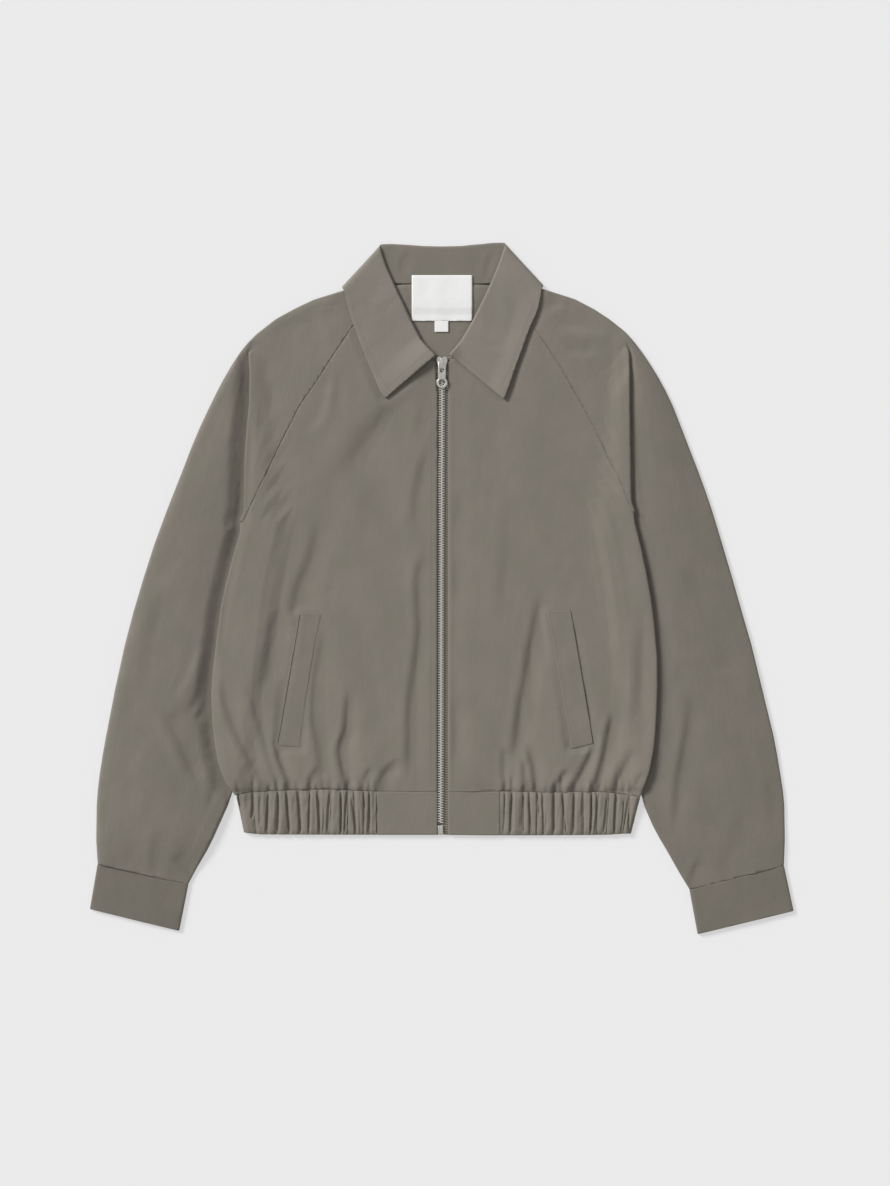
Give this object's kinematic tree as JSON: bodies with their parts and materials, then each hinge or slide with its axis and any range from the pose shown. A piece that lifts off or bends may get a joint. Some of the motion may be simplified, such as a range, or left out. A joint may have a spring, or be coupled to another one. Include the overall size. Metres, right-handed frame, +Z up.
{
  "type": "bomber jacket",
  "caption": "Bomber jacket with raglan sleeves, a shirt collar, slanted welt pockets, a gathered hem band and plain cuffs, zipped up and laid flat on its back.",
  "frame": {"origin": "centre of the laid-out jacket's outline, on the surface that it lies on", "axes": "+X towards the wearer's left, +Y towards the collar, +Z up out of the jacket's front"},
  "size_m": [0.7378, 0.7251, 0.0092],
  "materials": {
    "shell": "matt taupe woven shell cloth with a faint crinkle",
    "collar_cloth": "the same taupe cloth, interfaced and a little lighter",
    "tape": "ribbed zip tape, darker than the shell",
    "zip_metal": "silvery nickel-plated metal",
    "label": "smooth white label cloth"
  },
  "bodies": {
    "jacket": {"back_panel": "shell", "front_left": "shell", "front_right": "shell", "sleeve_left": "shell", "sleeve_right": "shell", "cuff_left": "shell", "cuff_right": "shell", "collar": "collar_cloth", "band_elastic": "shell", "band_end_left": "shell", "band_end_right": "shell", "pocket_welt_left": "shell", "pocket_welt_right": "shell", "zip_tape_left": "tape", "zip_tape_right": "tape", "zip_chain": "zip_metal", "zip_stop": "zip_metal", "zip_slider": "zip_metal", "neck_label": "label", "size_label": "label"},
    "pull_tab": {"zip_pull": "zip_metal"}
  },
  "joints": [
    {"name": "pull_swing", "type": "hinge", "parent": "jacket", "child": "pull_tab", "pos_m": [0.00025, 0.23665, 0.0072], "axis": [-1, 0, 0], "range_deg": [0, 150]}
  ]
}
